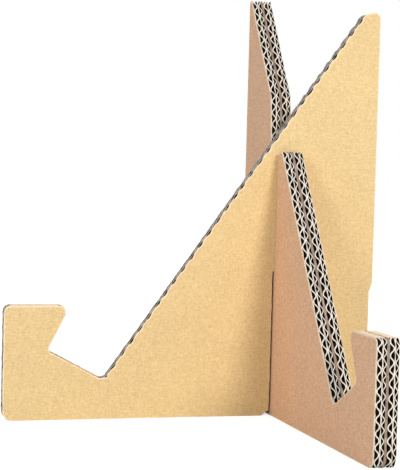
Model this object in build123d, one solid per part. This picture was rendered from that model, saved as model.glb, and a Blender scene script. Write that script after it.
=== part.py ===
"""Cardboard display stand: two upright easel panels that cross and slot into each other.

Each panel is two corrugated boards laid face to face. A board is three flat papers, the
liners, with a large and a small wave of paper between them. All sizes are in millimetres.
The stand is centred on the Z axis and stands on Z = 0. The left panel lies along X and the
right panel along Y. Hooks are at the low ends of X and Y.
"""

import os
from math import acos, pi, sin, tan

from build123d import *

# Outline of a panel seen from the side: u runs from the hook to the back edge, v runs up
PANEL_LENGTH = 251.2
BACK_CORNER_HEIGHT = 288.2
HOOK_HEIGHT = 74.0
HOOK_TOP_WIDTH = 42.8
HOOK_ROOT_U = 28.2
HOOK_ROOT_V = 45.0
NOTCH_FOOT_U = 64.4
NOTCH_FOOT_V = 26.0
LEFT_SLOPE_DROP = 2.2
BACK_STEP_DEPTH = 2.2
BACK_STEP_LOW = 83.5
BACK_STEP_HIGH = 89.5

# Rounding of the outline: the knife goes round each corner in a few short straight cuts
CORNER_CUTS = 5
FOOT_RADIUS = 7.0
HOOK_NOSE_RADIUS = 4.0
HOOK_LIP_RADIUS = 4.5
HOOK_ROOT_RADIUS = 2.8
NOTCH_FOOT_RADIUS = 5.0

# Tips: the left one is cut blunt, the right one is only rounded
LEFT_TIP_WIDTH = 11.0
LEFT_TIP_RISE = 2.9
LEFT_TIP_RADIUS = 4.0
RIGHT_TIP_RADIUS = 2.5

# Half-lap slots where the panels cross
SLOT_CENTRE_U = 187.6
SLOT_MEET_HEIGHT = 97.0
LEFT_SLOT_PLAY = 1.2
RIGHT_SLOT_PLAY = 0.3
LEFT_MOUTH_WIDEN = 6.0
LEFT_MOUTH_RISE = 3.7
RIGHT_MOUTH_WIDEN = 3.9
RIGHT_MOUTH_DEPTH = 24.0
RIGHT_MOUTH_RADIUS = 5.5

# Layers of one corrugated board
LINER = 0.5
SMALL_WAVE_HEIGHT = 2.3
SMALL_WAVE_PITCH = 6.35
LARGE_WAVE_HEIGHT = 3.3
LARGE_WAVE_PITCH = 7.95
WAVE_PAPER = 0.45

BOARD = 3 * LINER + SMALL_WAVE_HEIGHT + LARGE_WAVE_HEIGHT
PANEL = 2 * BOARD
CROSSING = SLOT_CENTRE_U - PANEL_LENGTH / 2


SLOPE_RISE = (BACK_CORNER_HEIGHT - NOTCH_FOOT_V) / (PANEL_LENGTH - NOTCH_FOOT_U)
LEDGE_FALL = (HOOK_ROOT_V - NOTCH_FOOT_V) / (NOTCH_FOOT_U - HOOK_ROOT_U)


def slope_height(u, drop=0):
    """Height of the straight slope above the base at the distance u from the hook."""
    return NOTCH_FOOT_V + SLOPE_RISE * (u - NOTCH_FOOT_U) - drop


def knife_path(corners):
    """Flat face inside a closed outline whose corners (u, v, radius) are cut round."""
    points = []
    for i, (u, v, radius) in enumerate(corners):
        corner = Vector(u, v)
        if not radius:
            points.append(corner)
            continue
        before = (Vector(*corners[i - 1][:2]) - corner).normalized()
        after = (Vector(*corners[(i + 1) % len(corners)][:2]) - corner).normalized()
        half_angle = acos(before.dot(after)) / 2
        centre = corner + (before + after).normalized() * (radius / sin(half_angle))
        first = corner + before * (radius / tan(half_angle)) - centre
        last = corner + after * (radius / tan(half_angle)) - centre
        turn = pi - 2 * half_angle
        for k in range(CORNER_CUTS + 1):
            done = turn * k / CORNER_CUTS
            spoke = (first * sin(turn - done) + last * sin(done)) * (1 / sin(turn))
            points.append(centre + spoke)
    return make_face(Polyline(*points, close=True))


def hook_and_notch(drop=0):
    """Corners from the front of the base over the hook to the foot of a slope lowered by drop."""
    foot_shift = drop / (SLOPE_RISE + LEDGE_FALL)
    return [
        (0, 0, FOOT_RADIUS),
        (0, HOOK_HEIGHT, HOOK_NOSE_RADIUS),
        (HOOK_TOP_WIDTH, HOOK_HEIGHT, HOOK_LIP_RADIUS),
        (HOOK_ROOT_U, HOOK_ROOT_V, HOOK_ROOT_RADIUS),
        (NOTCH_FOOT_U + foot_shift, NOTCH_FOOT_V - LEDGE_FALL * foot_shift, NOTCH_FOOT_RADIUS),
    ]


def back_edge():
    """Corners of a panel down its stepped back edge to the base."""
    step_u = PANEL_LENGTH - BACK_STEP_DEPTH
    return [(PANEL_LENGTH, BACK_STEP_HIGH, 0), (step_u, BACK_STEP_LOW, 0), (step_u, 0, 0)]


def left_outline():
    """Outline of the left panel: slope cut lower, blunt tip, slot that opens downwards."""
    tip_u = PANEL_LENGTH - LEFT_TIP_WIDTH
    tip_v = slope_height(tip_u, LEFT_SLOPE_DROP)
    tip = [(tip_u, tip_v, 0), (PANEL_LENGTH, tip_v + LEFT_TIP_RISE, LEFT_TIP_RADIUS)]
    half = PANEL / 2 + LEFT_SLOT_PLAY
    low, high = SLOT_CENTRE_U - half, SLOT_CENTRE_U + half
    slot = [
        (high + LEFT_MOUTH_WIDEN, 0, 0),
        (high, LEFT_MOUTH_RISE, 0),
        (high, SLOT_MEET_HEIGHT, 0),
        (low, SLOT_MEET_HEIGHT, 0),
        (low, LEFT_MOUTH_RISE, 0),
        (low - LEFT_MOUTH_WIDEN, 0, 0),
    ]
    return knife_path(hook_and_notch(LEFT_SLOPE_DROP) + tip + back_edge() + slot)


def right_outline():
    """Outline of the right panel: pointed tip, slot that opens upwards through the slope."""
    half = PANEL / 2 + RIGHT_SLOT_PLAY
    low, high = SLOT_CENTRE_U - half, SLOT_CENTRE_U + half
    wide = high + RIGHT_MOUTH_WIDEN
    slot = [
        (low, slope_height(low), RIGHT_MOUTH_RADIUS),
        (low, SLOT_MEET_HEIGHT, 0),
        (high, SLOT_MEET_HEIGHT, 0),
        (high, slope_height(high) - RIGHT_MOUTH_DEPTH, 0),
        (wide, slope_height(wide), 0),
    ]
    tip = [(PANEL_LENGTH, BACK_CORNER_HEIGHT, RIGHT_TIP_RADIUS)]
    return knife_path(hook_and_notch() + slot + tip + back_edge())


def through(outline, start, depth):
    """Plate with the given outline that fills the board from start to start + depth."""
    plate = extrude(outline, amount=depth)
    return Pos(0, start + depth, 0) * Rot(90, 0, 0) * plate


def wave(outline, start, height, pitch):
    """Zigzag paper between two liners, with flutes along u, trimmed to the outline."""
    half = pitch / 2
    crests = int(BACK_CORNER_HEIGHT / half) + 3
    near, far = [], []
    for i in range(crests):
        v = (i - 0.5) * half
        rest = start if i % 2 else start + height - WAVE_PAPER
        near.append((rest, v))
        far.append((rest + WAVE_PAPER, v))
    strip = make_face(Polyline(*near, *reversed(far), close=True))
    sheet = extrude(Plane.YZ * strip, amount=PANEL_LENGTH)
    return sheet & through(outline, start, height)


def board(outline):
    """One corrugated board: liner, small wave, liner, large wave, liner, from y = 0 up."""
    middle = LINER + SMALL_WAVE_HEIGHT
    last = BOARD - LINER
    layers = [
        through(outline, 0, LINER),
        wave(outline, LINER, SMALL_WAVE_HEIGHT, SMALL_WAVE_PITCH),
        through(outline, middle, LINER),
        wave(outline, middle + LINER, LARGE_WAVE_HEIGHT, LARGE_WAVE_PITCH),
        through(outline, last, LINER),
    ]
    return Compound([solid for layer in layers for solid in layer.solids()])


# Left panel along X: its front board faces low Y
left_board = board(left_outline())
left_front = Pos(-PANEL_LENGTH / 2, CROSSING - BOARD, 0) * left_board
left_back = Pos(-PANEL_LENGTH / 2, CROSSING, 0) * left_board

# Right panel along Y: a quarter turn sends u to +Y and the thickness to -X
right_board = Rot(0, 0, 90) * board(right_outline())
right_outer = Pos(CROSSING + BOARD, -PANEL_LENGTH / 2, 0) * right_board
right_inner = Pos(CROSSING, -PANEL_LENGTH / 2, 0) * right_board

os.makedirs("parts", exist_ok=True)
export_step(left_front, "parts/left_panel_front_board.step")
export_step(left_back, "parts/left_panel_back_board.step")
export_step(right_inner, "parts/right_panel_inner_board.step")
export_step(right_outer, "parts/right_panel_outer_board.step")
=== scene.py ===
import math

import bpy
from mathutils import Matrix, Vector


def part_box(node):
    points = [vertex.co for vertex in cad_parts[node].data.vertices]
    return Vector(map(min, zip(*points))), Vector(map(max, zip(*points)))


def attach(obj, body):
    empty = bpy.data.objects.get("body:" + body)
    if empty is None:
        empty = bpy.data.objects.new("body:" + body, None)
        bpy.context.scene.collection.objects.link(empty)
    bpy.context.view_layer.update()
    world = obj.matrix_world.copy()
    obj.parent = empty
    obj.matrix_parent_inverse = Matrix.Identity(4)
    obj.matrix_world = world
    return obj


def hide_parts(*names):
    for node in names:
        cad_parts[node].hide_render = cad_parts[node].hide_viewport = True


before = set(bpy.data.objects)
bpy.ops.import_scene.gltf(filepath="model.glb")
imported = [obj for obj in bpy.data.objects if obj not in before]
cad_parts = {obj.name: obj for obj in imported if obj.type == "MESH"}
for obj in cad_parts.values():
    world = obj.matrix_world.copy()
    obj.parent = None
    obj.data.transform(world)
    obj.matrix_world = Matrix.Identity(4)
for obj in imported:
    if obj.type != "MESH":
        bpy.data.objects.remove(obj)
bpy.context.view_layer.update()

# Liners of the left panel
# Flat kraft paper, three sheets to a board, cut to the easel outline with a steel rule. The rule
# crushes the rims and frays the edges, and along the slope it dents the paper between flutes.

left_low, left_high = (Vector(corner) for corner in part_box("left_panel_front_board"))
PANEL_LENGTH = left_high.x - left_low.x
BOARD = left_high.y - left_low.y
BACK_CORNER_HEIGHT = 0.2882
HOOK_HEIGHT = 0.074
HOOK_TOP_WIDTH = 0.0428
HOOK_ROOT_U = 0.0282
HOOK_ROOT_V = 0.045
NOTCH_FOOT_U = 0.0644
NOTCH_FOOT_V = 0.026
LEFT_SLOPE_DROP = 0.0022
LEFT_BACK_FOOT_DROP = 0.002
LEFT_BACK_TIP_DROP = 0.0006
BACK_STEP_DEPTH = 0.0022
BACK_STEP_LOW = 0.0835
BACK_STEP_HIGH = 0.0895

FOOT_RADIUS = 0.007
HOOK_NOSE_RADIUS = 0.004
HOOK_LIP_RADIUS = 0.0045
HOOK_ROOT_RADIUS = 0.0028
NOTCH_FOOT_RADIUS = 0.005
LEFT_TIP_WIDTH = 0.011
LEFT_TIP_RISE = 0.0029
LEFT_TIP_RADIUS = 0.004
LEFT_SHOULDER_RADIUS = 0.0026
CORNER_CUTS = 8
KNIFE_STEP = 0.002
KNIFE_WELD = 0.000001

SLOT_CENTRE_U = 0.1876
SLOT_MEET_HEIGHT = 0.097
LEFT_SLOT_PLAY = 0.0012
LEFT_MOUTH_WIDEN = 0.006
LEFT_MOUTH_RISE = 0.0037

LINER = 0.00065
SMALL_WAVE_HEIGHT = 0.00215
SMALL_WAVE_PITCH = 0.00635
LARGE_WAVE_PITCH = 0.00795
MIDDLE_LINER_START = LINER + SMALL_WAVE_HEIGHT
RIM_WIDTH = 0.0007
RIM_CRUSH = 0.0003
FRAY = 0.0003
SLOPE_DENT = Vector((0.0006, 0, -0.00042))
DENT_SHARE = 0.42

LEFT_KRAFT = (0.82, 0.64, 0.355)
# Rim paper is paler than the kraft faces: a painted highlight where the crushed rims catch the front
# light. The folded hook tops take the same colour.
RIM_PAPER_AND_PAINTED_HIGHLIGHT = (0.98, 0.80, 0.61)
CUT_PAPER = (0.97, 0.91, 0.84)
# Seam paper: dark grey-brown on the liners' cut edges along the seam between two boards, painted shade
# of the narrow gap there.
SEAM_PAINTED_SHADE = (0.40, 0.335, 0.295)
LEFT_LINING = (0.6, 0.5, 0.4)
# Near-black inside of the flutes: painted shade for their unlit depth, not the paper's own colour.
LEFT_FLUTE_SHADE = (0.02, 0.014, 0.009)


def run_knife(here, there):
    """Draw the knife's last point on to another place in short straight steps."""
    steps = max(1, round((there - here).length / KNIFE_STEP))
    for _ in range(steps):
        bpy.ops.mesh.extrude_region_move(TRANSFORM_OT_translate={"value": (there - here) / steps})


def cut_sheet(corners):
    """Flat sheet in the XZ plane with the corners (u, v, radius), u along X and v up."""
    bpy.ops.object.select_all(action="DESELECT")
    bpy.ops.mesh.primitive_plane_add(size=KNIFE_STEP)
    sheet = bpy.context.object
    bpy.ops.object.mode_set(mode="EDIT")
    bpy.ops.mesh.select_mode(type="VERT")
    bpy.ops.mesh.select_all(action="SELECT")
    bpy.ops.mesh.merge(type="CENTER")
    places = [Vector((u, 0, v)) for u, v, radius in corners]
    start = None
    for i, (u, v, radius) in enumerate(corners):
        back = (places[i - 1] - places[i]).normalized()
        onward = (places[(i + 1) % len(places)] - places[i]).normalized()
        half = back.angle(onward) / 2
        reach = radius / math.tan(half)
        if start is None:
            start = places[i] + reach * back
            bpy.ops.transform.translate(value=start)
        else:
            run_knife(here, places[i] + reach * back)
        here = places[i] + reach * onward
        if radius:
            centre = places[i] + radius / math.sin(half) * (back + onward).normalized()
            turn = math.pi - 2 * half
            axis = back.cross(onward).normalized()
            bpy.ops.mesh.spin(steps=CORNER_CUTS, angle=turn, center=centre, axis=axis)
    run_knife(here, start)
    bpy.ops.mesh.select_all(action="SELECT")
    bpy.ops.mesh.remove_doubles(threshold=KNIFE_WELD)
    bpy.ops.mesh.edge_face_add()
    bpy.ops.object.mode_set(mode="OBJECT")
    return sheet


def pick_faces(plate, side):
    """Select in edit mode a plate's faces: -1 and 1 are its two flat sides, 0 is its cut edge."""
    bpy.ops.object.mode_set(mode="EDIT")
    bpy.ops.mesh.select_mode(type="FACE")
    bpy.ops.mesh.select_all(action="DESELECT")
    bpy.ops.object.mode_set(mode="OBJECT")
    for face in plate.data.polygons:
        face.select = round(face.normal.y) == side
    bpy.ops.object.mode_set(mode="EDIT")


def press_plate(sheet, start, depth):
    """Plate with the sheet's outline from start to start + depth across the board."""
    plate = sheet.copy()
    plate.data = sheet.data.copy()
    bpy.context.collection.objects.link(plate)
    bpy.ops.object.select_all(action="DESELECT")
    plate.select_set(True)
    bpy.context.view_layer.objects.active = plate
    bpy.ops.object.mode_set(mode="EDIT")
    bpy.ops.mesh.select_all(action="SELECT")
    bpy.ops.transform.translate(value=(0, start, 0))
    bpy.ops.mesh.extrude_region_move(TRANSFORM_OT_translate={"value": (0, depth, 0)})
    bpy.ops.mesh.select_all(action="SELECT")
    bpy.ops.mesh.normals_make_consistent(inside=False)
    bpy.ops.object.mode_set(mode="OBJECT")
    return plate


# Materials of a board, in the order of its slots
FACE = 0
RIM = 1
CUT_EDGE = 2
INSIDE = 3
SEAM_EDGE = 4
LINING = 5


def paint_picked(piece, slot_number):
    """Give the selected faces of the piece in edit mode the material of one slot."""
    piece.active_material_index = slot_number
    bpy.ops.object.material_slot_assign()


SLOPE_LEAST_FORWARD = 0.5
SLOPE_LEAST_UP = 0.3


def on_slope(face):
    """True for a face of the cut edge that lies along the slope, facing forward and up."""
    leans = -face.normal.x > SLOPE_LEAST_FORWARD and face.normal.z > SLOPE_LEAST_UP
    return leans and face.center.x > NOTCH_FOOT_U


def dent_slope(liner):
    """Push the liner's rim along the slope in between the flutes, where nothing backs it."""
    bpy.ops.object.select_all(action="DESELECT")
    liner.select_set(True)
    bpy.context.view_layer.objects.active = liner
    edge = set()
    for face in liner.data.polygons:
        if on_slope(face):
            edge.update(face.vertices)
    rim = set(edge)
    for face in liner.data.polygons:
        if face.material_index == RIM and edge.intersection(face.vertices):
            rim.update(face.vertices)
    along = Vector((1, 0, SLOPE_RISE)).normalized()
    flute_run = LARGE_WAVE_PITCH / along.z
    bpy.ops.object.mode_set(mode="EDIT")
    bpy.ops.mesh.select_mode(type="VERT")
    bpy.ops.mesh.select_all(action="DESELECT")
    bpy.ops.object.mode_set(mode="OBJECT")
    for number in rim:
        corner = liner.data.vertices[number]
        corner.select = corner.co.dot(along) % flute_run < DENT_SHARE * flute_run
    bpy.ops.object.mode_set(mode="EDIT")
    bpy.ops.transform.translate(value=SLOPE_DENT)
    bpy.ops.object.mode_set(mode="OBJECT")


def press_liner(sheet, start, outward, crush, paper, seed):
    """One liner: outward is -1 or 1 for the board's face, 0 between the waves, crush is the rim's."""
    liner = press_plate(sheet, start + crush * (outward < 0), LINER - crush)
    for material in paper:
        liner.data.materials.append(material)
    bpy.ops.object.mode_set(mode="EDIT")
    bpy.ops.mesh.select_all(action="SELECT")
    # Cut edges of a seam-side liner get the seam's painted shade, all others the pale cut paper.
    paint_picked(liner, SEAM_EDGE if outward and not crush else CUT_EDGE)
    for side in (-1, 1):
        pick_faces(liner, side)
        if side == outward and crush:
            # The crushed rim ring gets the pale rim colour, a painted highlight.
            paint_picked(liner, RIM)
            bpy.ops.mesh.inset(thickness=RIM_WIDTH)
            bpy.ops.transform.translate(value=(0, outward * crush, 0))
        # Inner faces take the lining: pale paper in the left panel, the near-black painted flute shade
        # in the right panel.
        paint_picked(liner, FACE if side == outward else LINING)
    pick_faces(liner, 0)
    bpy.ops.transform.vertex_random(offset=FRAY, seed=seed)
    bpy.ops.object.mode_set(mode="OBJECT")
    return liner


FOLD = 0.0008
FOLD_PROUD = 0.00008
FOLD_LIP_GAP = 0.0072
FOLD_CUTS = 6
FOLD_UNEVEN = 0.0001
FOLD_SEED = 3


def fold_hook_top(paper):
    """Waves folded flat along the hook's top, where the knife runs along the flutes."""
    bpy.ops.object.select_all(action="DESELECT")
    bpy.ops.mesh.primitive_cube_add(size=1)
    fold = bpy.context.object
    # The fold takes the rim's pale material, with its painted highlight.
    fold.data.materials.append(paper[RIM])
    front = HOOK_NOSE_RADIUS
    back = HOOK_TOP_WIDTH - FOLD_LIP_GAP
    middle = HOOK_HEIGHT + FOLD_PROUD - FOLD / 2
    bpy.ops.object.mode_set(mode="EDIT")
    bpy.ops.mesh.select_all(action="SELECT")
    bpy.ops.transform.resize(value=(back - front, BOARD - 2 * LINER, FOLD))
    bpy.ops.transform.translate(value=((front + back) / 2, BOARD / 2, middle))
    bpy.ops.mesh.subdivide(number_cuts=FOLD_CUTS)
    bpy.ops.transform.vertex_random(offset=FOLD_UNEVEN, seed=FOLD_SEED)
    bpy.ops.object.mode_set(mode="OBJECT")
    return fold


FIRST_LINER = 1
LAST_LINER = 3


def press_liners(sheet, paper, seam, seed):
    """Folded hook top and then the liners of one board, with seam the side that lies on the next."""
    layers = [fold_hook_top(paper)]
    for outward, start in ((-1, 0), (0, MIDDLE_LINER_START), (1, BOARD - LINER)):
        crush = 0 if outward in (0, seam) else RIM_CRUSH
        layers.append(press_liner(sheet, start, outward, crush, paper, seed + outward))
    return layers


PAPER_SHINE = 0.15


def new_paper(name):
    """New material with its node tree, its shader and its Object coordinates."""
    material = bpy.data.materials.new(name)
    material.use_nodes = True
    tree = material.node_tree
    shader = tree.nodes["Principled BSDF"]
    shader.inputs["Specular IOR Level"].default_value = PAPER_SHINE
    place = tree.nodes.new("ShaderNodeTexCoord").outputs["Object"]
    return material, tree, shader, place


def speckle(tree, place, size, stretch=(1, 1, 1), lean=0, detail=3.0):
    """Soft noise with spots of a size in metres, longer where stretch is below one, leaning about Y."""
    mapping = tree.nodes.new("ShaderNodeMapping")
    mapping.inputs["Scale"].default_value = stretch
    mapping.inputs["Rotation"].default_value = (0, math.radians(lean), math.radians(lean))
    noise = tree.nodes.new("ShaderNodeTexNoise")
    noise.inputs["Scale"].default_value = 1 / size
    noise.inputs["Detail"].default_value = detail
    tree.links.new(place, mapping.inputs["Vector"])
    tree.links.new(mapping.outputs["Vector"], noise.inputs["Vector"])
    return noise.outputs["Fac"]


def tint(tree, amount, limits, dark, pale):
    """Colour between dark and pale as an amount goes from the lower to the upper limit."""
    ramp = tree.nodes.new("ShaderNodeValToRGB")
    for end, limit, colour in zip(ramp.color_ramp.elements, limits, (dark, pale)):
        end.position = limit
        end.color = (*colour, 1)
    tree.links.new(amount, ramp.inputs["Fac"])
    return ramp.outputs["Color"]


MIX_SHARE = 0
MIX_FIRST = 6
MIX_SECOND = 7
MIX_RESULT = 2


def multiply(tree, first, second):
    """Product of two colours."""
    mix = tree.nodes.new("ShaderNodeMix")
    mix.data_type = "RGBA"
    mix.blend_type = "MULTIPLY"
    mix.inputs[MIX_SHARE].default_value = 1.0
    tree.links.new(first, mix.inputs[MIX_FIRST])
    tree.links.new(second, mix.inputs[MIX_SECOND])
    return mix.outputs[MIX_RESULT]


def relief(tree, shader, height, strength, depth, under=None):
    """Bump of a depth in metres on the shader, over another bump where there is one."""
    bump = tree.nodes.new("ShaderNodeBump")
    bump.inputs["Strength"].default_value = strength
    bump.inputs["Distance"].default_value = depth
    tree.links.new(height, bump.inputs["Height"])
    if under:
        tree.links.new(under, bump.inputs["Normal"])
    tree.links.new(bump.outputs["Normal"], shader.inputs["Normal"])
    return bump.outputs["Normal"]


def shaded(colour, share):
    """The colour with its brightness times a share."""
    return tuple(share * part for part in colour)


SOFT = (0.3, 0.7)
CLOUD_SIZE = 0.03
CLOUD_DARK = 0.97
CLOUD_PALE = 1.02
RISING_FIBRE_SIZE = 0.0008
RISING_STRETCH = (1, 1, 0.3)
RISING_LEAN = 25
LEVEL_FIBRE_SIZE = 0.0009
LEVEL_STRETCH = (0.3, 0.3, 1)
LEVEL_LEAN = -20
FIBRE_DETAIL = 4.0
FIBRE_DARKER = (0.08, 0.11, 0.16)
FIBRE_PALER = (0.06, 0.06, 0.06)
FIBRE_BUMP = 0.5
FIBRE_DEPTH = 0.00008
SPECK_SIZE = 0.0013
SPECK_DETAIL = 1.0
SPECK_LIMITS = (0.25, 0.3)
SPECK_COLOUR = (0.8, 0.72, 0.62)
PLAIN = (1, 1, 1)
KRAFT_ROUGHNESS = 0.82
WASHBOARD_BUMP = 0.25
WASHBOARD_DEPTH = 0.00005
WASHBOARD_WANDER = 0.6
WAVE_TEXTURE_RADIANS = 20


def kraft_liner(name, colour, grain):
    """Kraft face: cloudy tint, fibres both ways, dark specks, the flutes faintly showing through."""
    material, tree, shader, place = new_paper(name)
    cloud = speckle(tree, place, CLOUD_SIZE)
    clouds = tint(tree, cloud, SOFT, shaded(colour, CLOUD_DARK), shaded(colour, CLOUD_PALE))
    rising = speckle(tree, place, RISING_FIBRE_SIZE, RISING_STRETCH, RISING_LEAN, FIBRE_DETAIL)
    level = speckle(tree, place, LEVEL_FIBRE_SIZE, LEVEL_STRETCH, LEVEL_LEAN, FIBRE_DETAIL)
    dark_fibre = tuple(1 - grain * part for part in FIBRE_DARKER)
    pale_fibre = tuple(1 + grain * part for part in FIBRE_PALER)
    strands = tint(tree, rising, SOFT, dark_fibre, pale_fibre)
    crossing = tint(tree, level, SOFT, dark_fibre, pale_fibre)
    speck = speckle(tree, place, SPECK_SIZE, detail=SPECK_DETAIL)
    specks = tint(tree, speck, SPECK_LIMITS, SPECK_COLOUR, PLAIN)
    fibres = multiply(tree, strands, crossing)
    tree.links.new(multiply(tree, multiply(tree, clouds, fibres), specks), shader.inputs["Base Color"])
    shader.inputs["Roughness"].default_value = KRAFT_ROUGHNESS
    flutes = tree.nodes.new("ShaderNodeTexWave")
    flutes.bands_direction = "Z"
    flutes.inputs["Scale"].default_value = 2 * math.pi / (WAVE_TEXTURE_RADIANS * SMALL_WAVE_PITCH)
    flutes.inputs["Distortion"].default_value = WASHBOARD_WANDER
    tree.links.new(place, flutes.inputs["Vector"])
    washboard = relief(tree, shader, flutes.outputs["Fac"], WASHBOARD_BUMP, WASHBOARD_DEPTH)
    relief(tree, shader, rising, FIBRE_BUMP, FIBRE_DEPTH, washboard)
    return material


FUZZ_SIZE = 0.0006
FUZZ_DETAIL = 5.0
FUZZ_LIMITS = (0.3, 0.65)
FUZZ_DARK = 0.78
FUZZ_BUMP = 0.6
FUZZ_DEPTH = 0.00015
PRESSED_SIZE = 0.005
PRESSED_LIMITS = (0.35, 0.6)
PRESSED_COLOUR = (0.92, 0.88, 0.83)
CUT_ROUGHNESS = 0.95


def cut_fibres(name, colour):
    """Cut paper edge: torn fibres in the given colour, with browner streaks where the knife pressed
    them. With the seam's dark colour it is painted shade.
    """
    material, tree, shader, place = new_paper(name)
    fuzz = speckle(tree, place, FUZZ_SIZE, detail=FUZZ_DETAIL)
    pale = tint(tree, fuzz, FUZZ_LIMITS, shaded(colour, FUZZ_DARK), colour)
    pressed = tint(tree, speckle(tree, place, PRESSED_SIZE), PRESSED_LIMITS, PRESSED_COLOUR, PLAIN)
    tree.links.new(multiply(tree, pale, pressed), shader.inputs["Base Color"])
    shader.inputs["Roughness"].default_value = CUT_ROUGHNESS
    relief(tree, shader, fuzz, FUZZ_BUMP, FUZZ_DEPTH)
    return material


STREAK_SIZE = 0.0015
STREAK_DARK = 0.75
STREAK_PALE = 1.2
STREAK_BUMP = 0.4
STREAK_DEPTH = 0.0001
FLUTE_ROUGHNESS = 0.9


def flute_lining(name, colour):
    """Inside of the flutes and liners: paper streaked along the flutes. A near-black colour is painted
    shade for the flutes' unlit depth.
    """
    material, tree, shader, place = new_paper(name)
    streaks = speckle(tree, place, STREAK_SIZE, LEVEL_STRETCH)
    brown = tint(tree, streaks, SOFT, shaded(colour, STREAK_DARK), shaded(colour, STREAK_PALE))
    tree.links.new(brown, shader.inputs["Base Color"])
    shader.inputs["Roughness"].default_value = FLUTE_ROUGHNESS
    relief(tree, shader, streaks, STREAK_BUMP, STREAK_DEPTH)
    return material


SLOPE_RISE = (BACK_CORNER_HEIGHT - NOTCH_FOOT_V) / (PANEL_LENGTH - NOTCH_FOOT_U)
LEDGE_FALL = (HOOK_ROOT_V - NOTCH_FOOT_V) / (NOTCH_FOOT_U - HOOK_ROOT_U)


def slope_height(u, drop=0):
    """Height of the straight slope above the base at the distance u from the hook's front."""
    return NOTCH_FOOT_V + SLOPE_RISE * (u - NOTCH_FOOT_U) - drop


def hook_and_notch(drop=0):
    """Corners from the front of the base over the hook to the foot of a slope lowered by drop."""
    foot_shift = drop / (SLOPE_RISE + LEDGE_FALL)
    return [
        (0, 0, FOOT_RADIUS),
        (0, HOOK_HEIGHT, HOOK_NOSE_RADIUS),
        (HOOK_TOP_WIDTH, HOOK_HEIGHT, HOOK_LIP_RADIUS),
        (HOOK_ROOT_U, HOOK_ROOT_V, HOOK_ROOT_RADIUS),
        (NOTCH_FOOT_U + foot_shift, NOTCH_FOOT_V - LEDGE_FALL * foot_shift, NOTCH_FOOT_RADIUS),
    ]


def back_edge():
    """Corners down the stepped back edge to the base."""
    step_u = PANEL_LENGTH - BACK_STEP_DEPTH
    return [(PANEL_LENGTH, BACK_STEP_HIGH, 0), (step_u, BACK_STEP_LOW, 0), (step_u, 0, 0)]


def blunt_tip(drop):
    """Corners of the left panel's blunt tip at the end of a slope lowered by drop."""
    tip_u = PANEL_LENGTH - LEFT_TIP_WIDTH
    tip_v = slope_height(tip_u, drop)
    return [
        (tip_u, tip_v, LEFT_SHOULDER_RADIUS),
        (PANEL_LENGTH, tip_v + LEFT_TIP_RISE, LEFT_TIP_RADIUS),
    ]


def left_corners(foot_drop, tip_drop):
    """All corners of a sheet of the left panel with its slope lowered at its foot and at its tip."""
    front = hook_and_notch(LEFT_SLOPE_DROP + foot_drop)
    return front + blunt_tip(LEFT_SLOPE_DROP + tip_drop) + back_edge() + left_slot


left_slot_half = BOARD + LEFT_SLOT_PLAY
left_slot_low = SLOT_CENTRE_U - left_slot_half
left_slot_high = SLOT_CENTRE_U + left_slot_half
left_slot = [
    (left_slot_high + LEFT_MOUTH_WIDEN, 0, 0),
    (left_slot_high, LEFT_MOUTH_RISE, 0),
    (left_slot_high, SLOT_MEET_HEIGHT, 0),
    (left_slot_low, SLOT_MEET_HEIGHT, 0),
    (left_slot_low, LEFT_MOUTH_RISE, 0),
    (left_slot_low - LEFT_MOUTH_WIDEN, 0, 0),
]
cut_edge = cut_fibres("cut_paper_edge", CUT_PAPER)
# Material of the crushed rims and hook-top folds, with a painted highlight in its pale colour.
pressed_rim_painted_highlight = kraft_liner("pressed_rim_painted_highlight", RIM_PAPER_AND_PAINTED_HIGHLIGHT, grain=0.6)
# Painted shade for the cut edges along the seam between two boards.
seam_painted_shade = cut_fibres("painted_seam_shade", SEAM_PAINTED_SHADE)
# Painted shade for the inside of the left panel's flutes.
left_flute_painted_shade = flute_lining("golden_flute_painted_shade", LEFT_FLUTE_SHADE)
golden_kraft = kraft_liner("golden_kraft", LEFT_KRAFT, grain=1.0)
left_lining = flute_lining("golden_lining", LEFT_LINING)
left_paper = [golden_kraft, pressed_rim_painted_highlight, cut_edge, left_flute_painted_shade, seam_painted_shade, left_lining]
left_sheet = cut_sheet(left_corners(foot_drop=0, tip_drop=0))
left_back_sheet = cut_sheet(left_corners(LEFT_BACK_FOOT_DROP, LEFT_BACK_TIP_DROP))
left_front_liners = press_liners(left_sheet, left_paper, seam=1, seed=2)
left_back_liners = press_liners(left_back_sheet, left_paper, seam=-1, seed=5)
dent_slope(left_front_liners[FIRST_LINER])
dent_slope(left_back_liners[LAST_LINER])

# Fluting of the left panel
# Paper rolled into waves between hot toothed rollers and glued to the liners at its crests, a
# small wave and a large one in each board. The flutes run level and wander a little.

LARGE_WAVE_START = MIDDLE_LINER_START + LINER
LARGE_WAVE_HEIGHT = BOARD - LINER - LARGE_WAVE_START
WAVE_PAPER_SHARE = 0.24
WAVE_ROUNDING = 1.9
CREST_STEPS = 6
FLUTE_RUNS = 4
SPARE_FLUTES = 3
FLUTE_WELD = 0.00001
FLUTE_WANDER = 0.003
WANDER_SIZE = 0.02
WANDER_SIZE_SPREAD = 0.01
CREASE_ANGLE = 40


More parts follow.
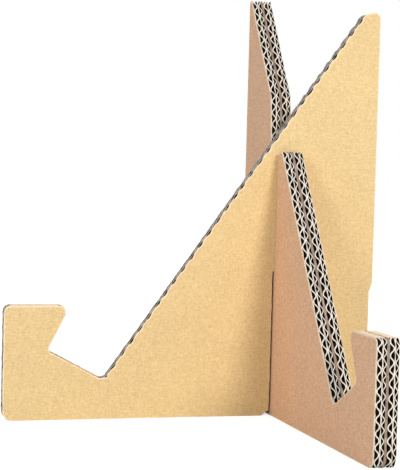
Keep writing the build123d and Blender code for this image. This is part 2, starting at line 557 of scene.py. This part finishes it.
def roll_wave(start, height, pitch, shift):
    """Fluted paper from start to start + height across the board, longer and taller than a panel."""
    quarter = pitch / 4
    paper_depth = WAVE_PAPER_SHARE * height
    rise = (height - paper_depth) / 2
    radius = WAVE_ROUNDING * rise
    flank = math.atan2(rise - radius, quarter) + math.asin(radius / math.hypot(quarter, rise - radius))
    crest_y = rise - radius + radius * math.cos(flank)
    crest_v = quarter - radius * math.sin(flank)
    middle = start + height / 2
    base_v = -pitch * (1 + shift)
    bpy.ops.object.select_all(action="DESELECT")
    bpy.ops.mesh.primitive_plane_add(size=pitch)
    wave = bpy.context.object
    bpy.ops.object.mode_set(mode="EDIT")
    bpy.ops.mesh.select_mode(type="VERT")
    bpy.ops.mesh.select_all(action="SELECT")
    bpy.ops.mesh.merge(type="CENTER")
    bpy.ops.transform.translate(value=(-pitch, middle, base_v))
    for side in (1, -1):
        bpy.ops.mesh.extrude_region_move(TRANSFORM_OT_translate={"value": (0, side * crest_y, crest_v)})
        centre = (-pitch, middle + side * (rise - radius), base_v + quarter)
        bpy.ops.mesh.spin(steps=CREST_STEPS, angle=2 * flank, center=centre, axis=(-side, 0, 0))
        bpy.ops.mesh.extrude_region_move(TRANSFORM_OT_translate={"value": (0, -side * crest_y, crest_v)})
        base_v += 2 * quarter
    bpy.ops.mesh.select_all(action="SELECT")
    for _ in range(FLUTE_RUNS):
        run = (PANEL_LENGTH + 2 * pitch) / FLUTE_RUNS
        bpy.ops.mesh.extrude_region_move(TRANSFORM_OT_translate={"value": (run, 0, 0)})
    bpy.ops.object.mode_set(mode="OBJECT")
    repeat = wave.modifiers.new("flutes", "ARRAY")
    repeat.count = math.ceil(BACK_CORNER_HEIGHT / pitch) + SPARE_FLUTES
    repeat.use_relative_offset = False
    repeat.use_constant_offset = True
    repeat.constant_offset_displace = (0, 0, pitch)
    repeat.use_merge_vertices = True
    repeat.merge_threshold = FLUTE_WELD
    wander = wave.modifiers.new("wander", "DISPLACE")
    wander.texture = bpy.data.textures.new("flute_wander", "CLOUDS")
    wander.texture.noise_scale = WANDER_SIZE + WANDER_SIZE_SPREAD * shift
    wander.texture_coords = "LOCAL"
    wander.direction = "Z"
    wander.strength = FLUTE_WANDER
    thickness = wave.modifiers.new("paper", "SOLIDIFY")
    thickness.thickness = paper_depth
    thickness.offset = 0
    for modifier in (repeat, wander, thickness):
        bpy.ops.object.modifier_apply(modifier=modifier.name)
    bpy.ops.object.mode_set(mode="EDIT")
    bpy.ops.mesh.select_all(action="SELECT")
    bpy.ops.mesh.normals_make_consistent(inside=False)
    bpy.ops.object.mode_set(mode="OBJECT")
    bpy.ops.object.shade_smooth_by_angle(angle=math.radians(CREASE_ANGLE))
    return wave


def trim_wave(wave, sheet, start, height, paper):
    """Trim the wave to the sheet's outline, with its own materials inside and on the cut."""
    # The wave's inside takes the near-black flute colour, painted shade.
    wave.data.materials.append(paper[INSIDE])
    outline = press_plate(sheet, start - LINER, height + 2 * LINER)
    outline.data.materials.append(paper[CUT_EDGE])
    trim = wave.modifiers.new("trim", "BOOLEAN")
    trim.operation = "INTERSECT"
    trim.solver = "EXACT"
    trim.material_mode = "TRANSFER"
    trim.object = outline
    bpy.ops.object.select_all(action="DESELECT")
    wave.select_set(True)
    bpy.context.view_layer.objects.active = wave
    bpy.ops.object.modifier_apply(modifier=trim.name)
    bpy.data.objects.remove(outline)


def roll_waves(sheet, paper, shift):
    """The small and the large wave of one board, trimmed to its outline."""
    waves = []
    for start, height, pitch, lift in (
            (LINER, SMALL_WAVE_HEIGHT, SMALL_WAVE_PITCH, shift),
            (LARGE_WAVE_START, LARGE_WAVE_HEIGHT, LARGE_WAVE_PITCH, 1 - shift)):
        wave = roll_wave(start, height, pitch, lift)
        trim_wave(wave, sheet, start, height, paper)
        waves.append(wave)
    return waves


left_front_waves = roll_waves(left_sheet, left_paper, shift=0.15)
left_back_waves = roll_waves(left_back_sheet, left_paper, shift=0.55)
bpy.data.objects.remove(left_sheet)
bpy.data.objects.remove(left_back_sheet)

# Left panel, front and back board
# Liners and fluting glued into double-wall board, two boards laid flat on each other by hand,
# about a millimetre askew. Together they are as thick as the right panel's slot is wide.

LEFT_BACK_ASKEW = Vector((0.0011, 0.0002, 0))


def glue_board(name, layers, node, quarter_turns, place):
    """Join the layers, turn and move the board to its place, and let it stand for its node."""
    bpy.ops.object.select_all(action="DESELECT")
    for layer in layers:
        layer.select_set(True)
    bpy.context.view_layer.objects.active = layers[0]
    bpy.ops.object.join()
    board = bpy.context.object
    board.name = name
    board.location = place
    board.rotation_euler.z = quarter_turns * math.pi / 2
    bpy.ops.object.transform_apply(location=True, rotation=True, scale=False)
    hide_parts(node)
    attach(board, "root")


left_back_place = Vector(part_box("left_panel_back_board")[0]) + LEFT_BACK_ASKEW
glue_board("left_front_board", left_front_liners + left_front_waves,
           "left_panel_front_board", quarter_turns=0, place=left_low)
glue_board("left_back_board", left_back_liners + left_back_waves,
           "left_panel_back_board", quarter_turns=0, place=left_back_place)

# Right panel, inner and outer board
# Nearly the same easel outline in a browner kraft, with its slot open at the slope. It is pushed
# up into the left panel's slot, so that the panels cross and hold each other upright.

RIGHT_SLOT_PLAY = 0.0003
RIGHT_MOUTH_WIDEN = 0.0039
RIGHT_MOUTH_DEPTH = 0.024
RIGHT_MOUTH_RADIUS = 0.0055
RIGHT_TIP_RADIUS = 0.0025
RIGHT_OUTER_ASKEW = Vector((0.0003, 0, 0))
RIGHT_KRAFT = (0.88, 0.595, 0.43)
# Near-black inside of the right panel's flutes and liners: painted shade for their unlit depth.
RIGHT_FLUTE_SHADE = (0.025, 0.016, 0.01)

right_slot_half = BOARD + RIGHT_SLOT_PLAY
right_slot_low = SLOT_CENTRE_U - right_slot_half
right_slot_high = SLOT_CENTRE_U + right_slot_half
right_slot_wide = right_slot_high + RIGHT_MOUTH_WIDEN
right_slot = [
    (right_slot_low, slope_height(right_slot_low), RIGHT_MOUTH_RADIUS),
    (right_slot_low, SLOT_MEET_HEIGHT, 0),
    (right_slot_high, SLOT_MEET_HEIGHT, 0),
    (right_slot_high, slope_height(right_slot_high) - RIGHT_MOUTH_DEPTH, 0),
    (right_slot_wide, slope_height(right_slot_wide), 0),
]
right_tip = [(PANEL_LENGTH, BACK_CORNER_HEIGHT, RIGHT_TIP_RADIUS)]
# Painted shade for the inside of the right panel's flutes and the inner faces of its liners.
right_flute_painted_shade = flute_lining("brown_flute_painted_shade", RIGHT_FLUTE_SHADE)
brown_kraft = kraft_liner("brown_kraft", RIGHT_KRAFT, grain=1.5)
right_paper = [brown_kraft, pressed_rim_painted_highlight, cut_edge, right_flute_painted_shade, seam_painted_shade, right_flute_painted_shade]
right_sheet = cut_sheet(hook_and_notch() + right_slot + right_tip + back_edge())
for side, seam, seed, shift, askew in (
        ("inner", -1, 8, 0.3, Vector((0, 0, 0))),
        ("outer", 1, 11, 0.8, RIGHT_OUTER_ASKEW)):
    node = f"right_panel_{side}_board"
    low, high = (Vector(corner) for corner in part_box(node))
    layers = press_liners(right_sheet, right_paper, seam, seed)
    layers += roll_waves(right_sheet, right_paper, shift)
    place = Vector((high.x, low.y, low.z)) + askew
    glue_board(f"right_{side}_board", layers, node, quarter_turns=1, place=place)
bpy.data.objects.remove(right_sheet)

# Studio floor and lights
# A plain white floor that fades into a white surround, broad warm lamps in front, on the left
# and behind, and even soft light from all round.

FLOOR_SIZE = 12.0
FLOOR_CUTS = 4
FLOOR_WHITE = (0.7, 0.7, 0.7)
FLOOR_GLOW = 0.72
ROOM_LIGHT = 0.41
ROOM_COLOUR = (0.96, 1.0, 1.06)
LAMP_COLOUR = (1.0, 0.94, 0.83)
LAMP_SIZE = 0.6
LAMP_AIM = (0.03, 0.03, 0.11)
LAMPS = [
    ("front_lamp", (0.56, -2.0, 0.95), 26.0),
    ("left_lamp", (-1.48, -1.24, 1.0), 12.0),
    ("back_lamp", (0.9, 1.7, 1.1), 18.0),
]


def seen_straight(tree):
    """1 for what the camera sees, straight, mirrored or through glass, and 0 for the light it sheds."""
    rays = tree.nodes.new("ShaderNodeLightPath")
    seen = tree.nodes.new("ShaderNodeMath")
    seen.operation = "MAXIMUM"
    cleared = tree.nodes.new("ShaderNodeMath")
    cleared.operation = "MAXIMUM"
    tree.links.new(rays.outputs["Is Camera Ray"], seen.inputs[0])
    tree.links.new(rays.outputs["Is Glossy Ray"], seen.inputs[1])
    tree.links.new(seen.outputs["Value"], cleared.inputs[0])
    tree.links.new(rays.outputs["Is Transmission Ray"], cleared.inputs[1])
    return cleared.outputs["Value"]


bpy.ops.object.select_all(action="DESELECT")
bpy.ops.mesh.primitive_plane_add(size=FLOOR_SIZE)
floor = bpy.context.object
floor.name = "studio_floor"
bpy.ops.object.mode_set(mode="EDIT")
bpy.ops.mesh.subdivide(number_cuts=FLOOR_CUTS)
bpy.ops.object.mode_set(mode="OBJECT")
floor_paint = bpy.data.materials.new("floor_white")
floor_paint.use_nodes = True
floor_tree = floor_paint.node_tree
floor_shader = floor_tree.nodes["Principled BSDF"]
floor_shader.inputs["Base Color"].default_value = (*FLOOR_WHITE, 1)
floor_shader.inputs["Roughness"].default_value = 1.0
floor_shader.inputs["Specular IOR Level"].default_value = 0.0
share = floor_tree.nodes.new("ShaderNodeMath")
share.operation = "MULTIPLY"
share.inputs[1].default_value = FLOOR_GLOW
glow = floor_tree.nodes.new("ShaderNodeEmission")
both = floor_tree.nodes.new("ShaderNodeAddShader")
floor_tree.links.new(seen_straight(floor_tree), share.inputs[0])
floor_tree.links.new(share.outputs["Value"], glow.inputs["Strength"])
floor_tree.links.new(floor_shader.outputs["BSDF"], both.inputs[0])
floor_tree.links.new(glow.outputs["Emission"], both.inputs[1])
floor_tree.links.new(both.outputs["Shader"], floor_tree.nodes["Material Output"].inputs["Surface"])
floor.data.materials.append(floor_paint)

world = bpy.data.worlds.new("white_room")
bpy.context.scene.world = world
world.use_nodes = True
room = world.node_tree
room_seen = seen_straight(room)
strength = room.nodes.new("ShaderNodeMapRange")
strength.inputs["To Min"].default_value = ROOM_LIGHT
strength.inputs["To Max"].default_value = 1.0
tone = room.nodes.new("ShaderNodeMix")
tone.data_type = "RGBA"
tone.inputs[MIX_FIRST].default_value = (*ROOM_COLOUR, 1)
tone.inputs[MIX_SECOND].default_value = (*PLAIN, 1)
room.links.new(room_seen, tone.inputs[MIX_SHARE])
room.links.new(tone.outputs[MIX_RESULT], room.nodes["Background"].inputs["Color"])
room.links.new(room_seen, strength.inputs["Value"])
room.links.new(strength.outputs["Result"], room.nodes["Background"].inputs["Strength"])

for name, place, power in LAMPS:
    lamp_data = bpy.data.lights.new(name, "AREA")
    lamp_data.energy = power
    lamp_data.color = LAMP_COLOUR
    lamp_data.shape = "DISK"
    lamp_data.size = LAMP_SIZE
    lamp = bpy.data.objects.new(name, lamp_data)
    bpy.context.collection.objects.link(lamp)
    lamp.location = place
    lamp.rotation_euler = (Vector(LAMP_AIM) - Vector(place)).to_track_quat("-Z", "Y").to_euler()

# Camera
# A long lens at about two hooks' height, turned a little to the right and tilted a little,
# as the straight edges of the stand show.

CAMERA_PLACE = (-0.27141, -0.90865, 0.17162)
CAMERA_TURN = (87.097, -1.499, -15.799)
CAMERA_LENS = 116.76
CAMERA_SENSOR = 36.0

camera_data = bpy.data.cameras.new("camera")
camera_data.sensor_width = CAMERA_SENSOR
camera_data.lens = CAMERA_LENS
camera = bpy.data.objects.new("camera", camera_data)
bpy.context.collection.objects.link(camera)
camera.location = CAMERA_PLACE
camera.rotation_euler = [math.radians(angle) for angle in CAMERA_TURN]
bpy.context.scene.camera = camera
bpy.context.scene.view_settings.view_transform = "Standard"

bpy.context.view_layer.update()
